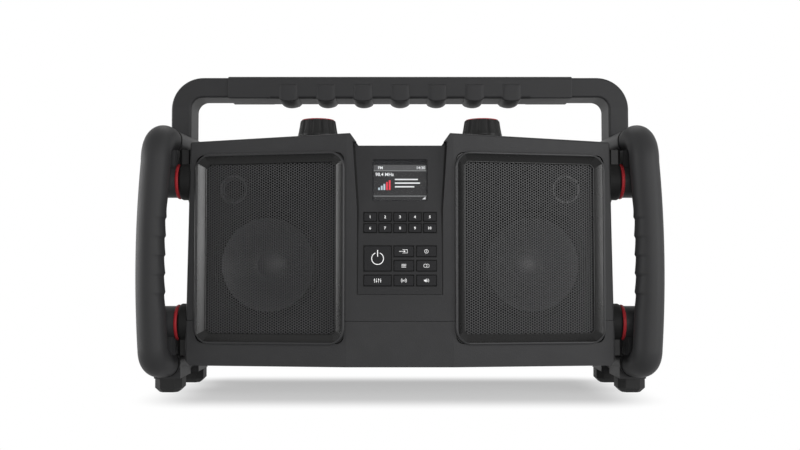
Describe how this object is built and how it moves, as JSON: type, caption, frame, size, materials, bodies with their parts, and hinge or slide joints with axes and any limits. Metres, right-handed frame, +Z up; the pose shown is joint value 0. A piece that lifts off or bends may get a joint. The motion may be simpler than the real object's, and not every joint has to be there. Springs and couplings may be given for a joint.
{
  "type": "jobsite radio",
  "caption": "Rugged jobsite radio with a roll cage, a bumped carrying handle, twin speakers behind grilles, a display, keys, and knobs on top.",
  "frame": {"origin": "on the floor under the middle of the cage", "axes": "+X to the right as seen from the front, +Y to the rear, +Z up"},
  "size_m": [0.52, 0.1996, 0.3304],
  "materials": {
    "case": "fine textured black moulding",
    "panel": "satin black",
    "speaker_trim": "satin black",
    "grille": "powder-coated perforated sheet",
    "inner_plastic": "plain moulding",
    "cone": "pressed cone",
    "rubber": "matt soft-touch",
    "red_rubber": "matt red",
    "cage": "fine textured black moulding",
    "window": "clear hard-coated",
    "display": "colour display",
    "board": "solder mask",
    "battery": "shrink-wrapped pack",
    "steel": "zinc plated",
    "knob": "soft-touch",
    "button": "matt silicone"
  },
  "bodies": {
    "case": {"front_housing": "case", "base_housing": "case", "rear_cover": "case", "control_panel": "panel", "display_window": "window", "display_module": "display", "main_board": "board", "speaker_frame_left": "speaker_trim", "speaker_frame_right": "speaker_trim", "grille_left": "grille", "grille_right": "grille", "speaker_baffles": "inner_plastic", "woofer_left": "inner_plastic", "woofer_right": "inner_plastic", "woofer_surrounds": "rubber", "tweeters": "cone", "encoders": "inner_plastic", "side_frame_left": "cage", "side_frame_right": "cage", "front_sleeve_left": "rubber", "front_sleeve_right": "rubber", "rear_sleeve_left": "rubber", "rear_sleeve_right": "rubber", "damping_rings": "red_rubber", "case_bosses": "inner_plastic", "handle_frame": "cage", "handle_grip": "rubber", "feet": "rubber", "hinge_pins": "steel", "battery_pack": "battery", "rear_sockets": "inner_plastic", "power_unit": "board", "fasteners": "steel"},
    "preset_button_01": {"preset_button_01": "button"},
    "preset_button_02": {"preset_button_02": "button"},
    "preset_button_03": {"preset_button_03": "button"},
    "preset_button_04": {"preset_button_04": "button"},
    "preset_button_05": {"preset_button_05": "button"},
    "preset_button_06": {"preset_button_06": "button"},
    "preset_button_07": {"preset_button_07": "button"},
    "preset_button_08": {"preset_button_08": "button"},
    "preset_button_09": {"preset_button_09": "button"},
    "preset_button_10": {"preset_button_10": "button"},
    "power_button": {"power_button": "button"},
    "equaliser_button": {"equaliser_button": "button"},
    "source_button": {"source_button": "button"},
    "info_button": {"info_button": "button"},
    "menu_button": {"menu_button": "button"},
    "stereo_button": {"stereo_button": "button"},
    "surround_button": {"surround_button": "button"},
    "loudness_button": {"loudness_button": "button"},
    "volume_knob": {"volume_knob": "knob", "volume_shaft": "steel"},
    "tuning_knob": {"tuning_knob": "knob", "tuning_shaft": "steel"},
    "woofer_cone_left": {"woofer_cone_left": "cone"},
    "woofer_cone_right": {"woofer_cone_right": "cone"},
    "battery_door": {"battery_door": "case"},
    "socket_flap": {"socket_flap": "rubber"},
    "aerial": {"aerial": "rubber"}
  },
  "joints": [
    {"name": "preset_button_01_press", "type": "slide", "parent": "case", "child": "preset_button_01", "axis": [0, 0.9977, -0.068], "range_m": [0, 0.0012], "stiffness_N_per_m": 400},
    {"name": "preset_button_02_press", "type": "slide", "parent": "case", "child": "preset_button_02", "axis": [0, 0.9977, -0.068], "range_m": [0, 0.0012], "stiffness_N_per_m": 400},
    {"name": "preset_button_03_press", "type": "slide", "parent": "case", "child": "preset_button_03", "axis": [0, 0.9977, -0.068], "range_m": [0, 0.0012], "stiffness_N_per_m": 400},
    {"name": "preset_button_04_press", "type": "slide", "parent": "case", "child": "preset_button_04", "axis": [0, 0.9977, -0.068], "range_m": [0, 0.0012], "stiffness_N_per_m": 400},
    {"name": "preset_button_05_press", "type": "slide", "parent": "case", "child": "preset_button_05", "axis": [0, 0.9977, -0.068], "range_m": [0, 0.0012], "stiffness_N_per_m": 400},
    {"name": "preset_button_06_press", "type": "slide", "parent": "case", "child": "preset_button_06", "axis": [0, 0.9977, -0.068], "range_m": [0, 0.0012], "stiffness_N_per_m": 400},
    {"name": "preset_button_07_press", "type": "slide", "parent": "case", "child": "preset_button_07", "axis": [0, 0.9977, -0.068], "range_m": [0, 0.0012], "stiffness_N_per_m": 400},
    {"name": "preset_button_08_press", "type": "slide", "parent": "case", "child": "preset_button_08", "axis": [0, 0.9977, -0.068], "range_m": [0, 0.0012], "stiffness_N_per_m": 400},
    {"name": "preset_button_09_press", "type": "slide", "parent": "case", "child": "preset_button_09", "axis": [0, 0.9977, -0.068], "range_m": [0, 0.0012], "stiffness_N_per_m": 400},
    {"name": "preset_button_10_press", "type": "slide", "parent": "case", "child": "preset_button_10", "axis": [0, 0.9977, -0.068], "range_m": [0, 0.0012], "stiffness_N_per_m": 400},
    {"name": "power_button_press", "type": "slide", "parent": "case", "child": "power_button", "axis": [0, 1, 0], "range_m": [0, 0.0012], "stiffness_N_per_m": 400},
    {"name": "equaliser_button_press", "type": "slide", "parent": "case", "child": "equaliser_button", "axis": [0, 1, 0], "range_m": [0, 0.0012], "stiffness_N_per_m": 400},
    {"name": "source_button_press", "type": "slide", "parent": "case", "child": "source_button", "axis": [0, 1, 0], "range_m": [0, 0.0012], "stiffness_N_per_m": 400},
    {"name": "info_button_press", "type": "slide", "parent": "case", "child": "info_button", "axis": [0, 1, 0], "range_m": [0, 0.0012], "stiffness_N_per_m": 400},
    {"name": "menu_button_press", "type": "slide", "parent": "case", "child": "menu_button", "axis": [0, 1, 0], "range_m": [0, 0.0012], "stiffness_N_per_m": 400},
    {"name": "stereo_button_press", "type": "slide", "parent": "case", "child": "stereo_button", "axis": [0, 1, 0], "range_m": [0, 0.0012], "stiffness_N_per_m": 400},
    {"name": "surround_button_press", "type": "slide", "parent": "case", "child": "surround_button", "axis": [0, 1, 0], "range_m": [0, 0.0012], "stiffness_N_per_m": 400},
    {"name": "loudness_button_press", "type": "slide", "parent": "case", "child": "loudness_button", "axis": [0, 1, 0], "range_m": [0, 0.0012], "stiffness_N_per_m": 400},
    {"name": "volume_knob_turn", "type": "hinge", "parent": "case", "child": "volume_knob", "pos_m": [-0.083, -0.0595, 0.2576], "axis": [0, 0, 1], "continuous": true},
    {"name": "tuning_knob_turn", "type": "hinge", "parent": "case", "child": "tuning_knob", "pos_m": [0.083, -0.0595, 0.2576], "axis": [0, 0, 1], "continuous": true},
    {"name": "woofer_cone_left_travel", "type": "slide", "parent": "case", "child": "woofer_cone_left", "axis": [-0.1087, -0.9941, 0], "range_m": [-0.002, 0.002], "stiffness_N_per_m": 1500},
    {"name": "woofer_cone_right_travel", "type": "slide", "parent": "case", "child": "woofer_cone_right", "axis": [0.1087, -0.9941, 0], "range_m": [-0.002, 0.002], "stiffness_N_per_m": 1500},
    {"name": "battery_door_hinge", "type": "hinge", "parent": "case", "child": "battery_door", "pos_m": [-0.108, 0.0906, 0.092], "axis": [0, 0, 1], "range_deg": [0, 110]},
    {"name": "socket_flap_hinge", "type": "hinge", "parent": "case", "child": "socket_flap", "pos_m": [0.178, 0.0906, 0.096], "axis": [0, 0, -1], "range_deg": [0, 110]},
    {"name": "aerial_hinge", "type": "hinge", "parent": "case", "child": "aerial", "pos_m": [0.166, 0.0925, 0.214], "axis": [0, 1, 0], "range_deg": [0, 90]}
  ]
}
